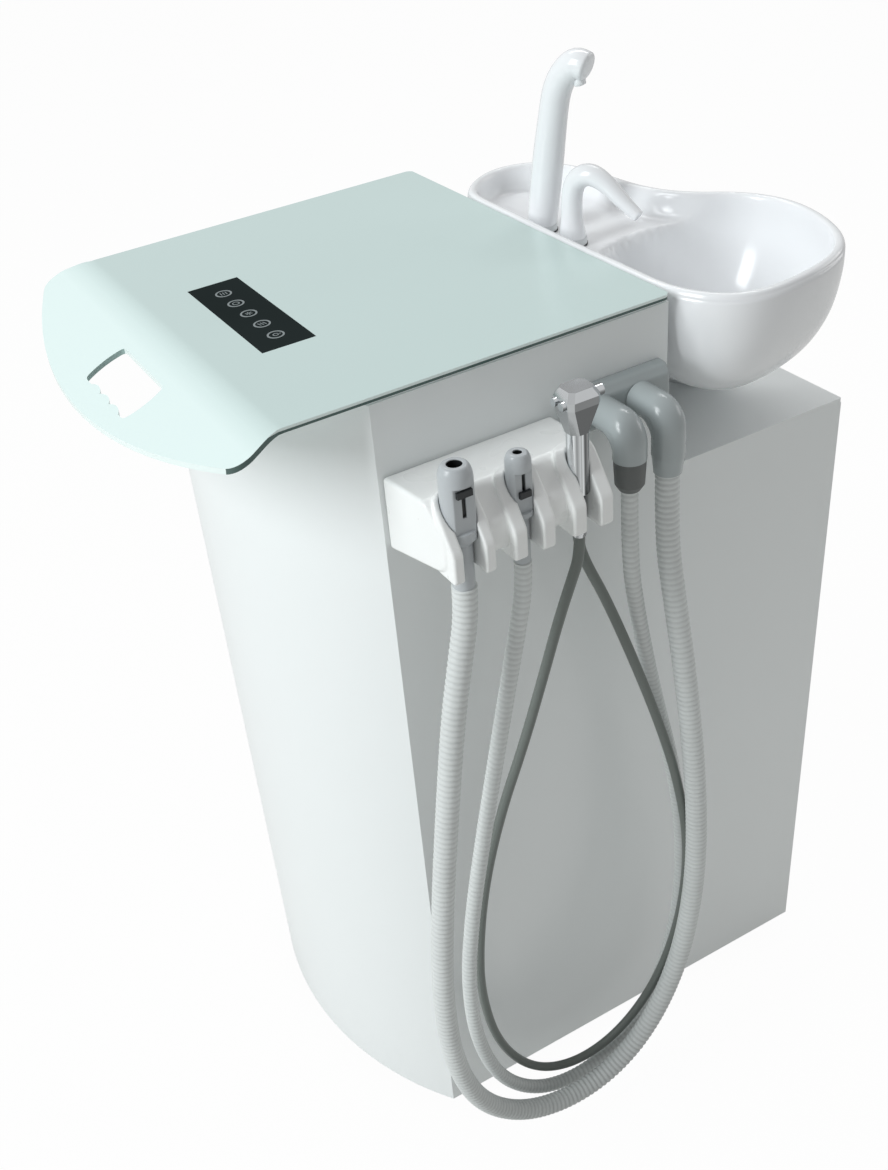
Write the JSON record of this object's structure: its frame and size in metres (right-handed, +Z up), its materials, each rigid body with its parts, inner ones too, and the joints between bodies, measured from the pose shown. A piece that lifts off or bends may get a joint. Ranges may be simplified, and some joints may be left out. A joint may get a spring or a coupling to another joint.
{
  "type": "portable dental unit",
  "caption": "Mobile dental cabinet with bent glass worktop, ceramic spittoon bowl with spouts, and side holder with suction handpieces and three-way syringe on looped hoses.",
  "frame": {"origin": "on the floor under the middle of the whole unit, hoses left out", "axes": "+X towards the instrument side, -Y towards the curved front with the pull handle, +Z up"},
  "size_m": [0.4885, 0.624, 0.9502],
  "materials": {
    "white_panel": "gloss",
    "frame_metal": "satin",
    "worktop_glass": "polished, back-painted glass",
    "touch_window": "dark film",
    "circuit_board": "matt",
    "white_plastic": "gloss",
    "grey_plastic": "satin",
    "black_plastic": "matt",
    "chrome": "polished",
    "hose_grey": "matt, ribbed",
    "tube_dark": "matt",
    "cuff_rubber": "matt",
    "ceramic": "glazed",
    "steel": "brushed",
    "caster_tyre": "matt",
    "clear_plastic": "translucent",
    "machine_grey": "cast"
  },
  "bodies": {
    "cabinet": {"front_panel": "white_panel", "right_side_panel": "white_panel", "left_side_panel": "white_panel", "tall_rear_wall": "white_panel", "low_deck": "white_panel", "rear_panel": "white_panel", "base_plate": "frame_metal", "worktop_tray": "white_panel", "corner_posts": "frame_metal", "shelf": "frame_metal", "glass_top": "worktop_glass", "touch_window": "touch_window", "control_board": "circuit_board", "instrument_holder": "white_plastic", "hose_port_block": "grey_plastic", "se_elbow": "grey_plastic", "se_cuff": "cuff_rubber", "hve_elbow": "grey_plastic", "hve_cuff": "cuff_rubber", "tube_gland": "grey_plastic", "hve_hose": "hose_grey", "se_hose": "hose_grey", "syringe_hose": "tube_dark", "spittoon_bowl": "ceramic", "drain_tail": "black_plastic", "spout_seals": "cuff_rubber", "caster_mounts": "steel", "vacuum_pump": "machine_grey", "air_compressor": "machine_grey", "clean_water_bottle": "clear_plastic", "waste_tank": "clear_plastic", "suction_separator": "clear_plastic", "power_supply": "frame_metal", "power_inlet": "black_plastic", "switch_frame": "black_plastic", "drain_outlet": "grey_plastic", "water_inlet": "steel", "panel_screws": "steel", "spout_collars": "grey_plastic"},
    "hve_suction": {"hve_handpiece": "grey_plastic"},
    "hve_valve": {"hve_slider": "black_plastic"},
    "se_suction": {"se_handpiece": "grey_plastic"},
    "se_valve": {"se_slider": "black_plastic"},
    "syringe": {"syringe_grip": "chrome", "syringe_head": "chrome", "nozzle_nut": "chrome"},
    "air_key": {"air_button": "chrome"},
    "water_key": {"water_button": "chrome"},
    "strainer": {"bowl_strainer": "steel"},
    "cup_filler": {"cup_filler_spout": "ceramic"},
    "bowl_rinser": {"bowl_rinse_spout": "ceramic"},
    "rocker": {"power_rocker": "black_plastic"},
    "fork_front_right": {"caster_fork_front_right": "steel"},
    "fork_front_left": {"caster_fork_front_left": "steel"},
    "fork_rear_right": {"caster_fork_rear_right": "steel"},
    "fork_rear_left": {"caster_fork_rear_left": "steel"},
    "wheel_front_right": {"caster_wheel_front_right": "caster_tyre"},
    "wheel_front_left": {"caster_wheel_front_left": "caster_tyre"},
    "wheel_rear_right": {"caster_wheel_rear_right": "caster_tyre"},
    "wheel_rear_left": {"caster_wheel_rear_left": "caster_tyre"}
  },
  "joints": [
    {"name": "hve_lift", "type": "slide", "parent": "cabinet", "child": "hve_suction", "axis": [0, 0, 1], "range_m": [0, 0.09]},
    {"name": "hve_valve_slide", "type": "slide", "parent": "hve_suction", "child": "hve_valve", "axis": [0, 0, 1], "range_m": [-0.015, 0]},
    {"name": "se_lift", "type": "slide", "parent": "cabinet", "child": "se_suction", "axis": [0, 0, 1], "range_m": [0, 0.09]},
    {"name": "se_valve_slide", "type": "slide", "parent": "se_suction", "child": "se_valve", "axis": [0, 0, 1], "range_m": [0, 0.012]},
    {"name": "syringe_lift", "type": "slide", "parent": "cabinet", "child": "syringe", "axis": [0, 0, 1], "range_m": [0, 0.09]},
    {"name": "air_press", "type": "slide", "parent": "syringe", "child": "air_key", "axis": [0, 1, 0], "range_m": [0, 0.002], "stiffness_N_per_m": 600, "springref_m": -0.002},
    {"name": "water_press", "type": "slide", "parent": "syringe", "child": "water_key", "axis": [0, 1, 0], "range_m": [0, 0.002], "stiffness_N_per_m": 600, "springref_m": -0.002},
    {"name": "strainer_lift", "type": "slide", "parent": "cabinet", "child": "strainer", "axis": [0, 0, 1], "range_m": [0, 0.09]},
    {"name": "cup_filler_turn", "type": "hinge", "parent": "cabinet", "child": "cup_filler", "pos_m": [-0.0555, 0.1285, 0.8025], "axis": [0, 0, 1], "range_deg": [-25, 25]},
    {"name": "bowl_rinser_turn", "type": "hinge", "parent": "cabinet", "child": "bowl_rinser", "pos_m": [-0.0105, 0.1285, 0.8025], "axis": [0, 0, 1], "range_deg": [-20, 20]},
    {"name": "rocker_tip", "type": "hinge", "parent": "cabinet", "child": "rocker", "pos_m": [-0.09, 0.277, 0.11], "axis": [1, 0, 0], "range_deg": [0, 18]},
    {"name": "swivel_front_right", "type": "hinge", "parent": "cabinet", "child": "fork_front_right", "pos_m": [0.108, -0.124, 0.05], "axis": [0, 0, 1], "continuous": true},
    {"name": "swivel_front_left", "type": "hinge", "parent": "cabinet", "child": "fork_front_left", "pos_m": [-0.168, -0.124, 0.05], "axis": [0, 0, 1], "continuous": true},
    {"name": "swivel_rear_right", "type": "hinge", "parent": "cabinet", "child": "fork_rear_right", "pos_m": [0.108, 0.23, 0.05], "axis": [0, 0, 1], "continuous": true},
    {"name": "swivel_rear_left", "type": "hinge", "parent": "cabinet", "child": "fork_rear_left", "pos_m": [-0.168, 0.23, 0.05], "axis": [0, 0, 1], "continuous": true},
    {"name": "spin_front_right", "type": "hinge", "parent": "fork_front_right", "child": "wheel_front_right", "pos_m": [0.108, -0.108, 0.022], "axis": [1, 0, 0], "continuous": true},
    {"name": "spin_front_left", "type": "hinge", "parent": "fork_front_left", "child": "wheel_front_left", "pos_m": [-0.168, -0.108, 0.022], "axis": [1, 0, 0], "continuous": true},
    {"name": "spin_rear_right", "type": "hinge", "parent": "fork_rear_right", "child": "wheel_rear_right", "pos_m": [0.108, 0.246, 0.022], "axis": [1, 0, 0], "continuous": true},
    {"name": "spin_rear_left", "type": "hinge", "parent": "fork_rear_left", "child": "wheel_rear_left", "pos_m": [-0.168, 0.246, 0.022], "axis": [1, 0, 0], "continuous": true}
  ]
}
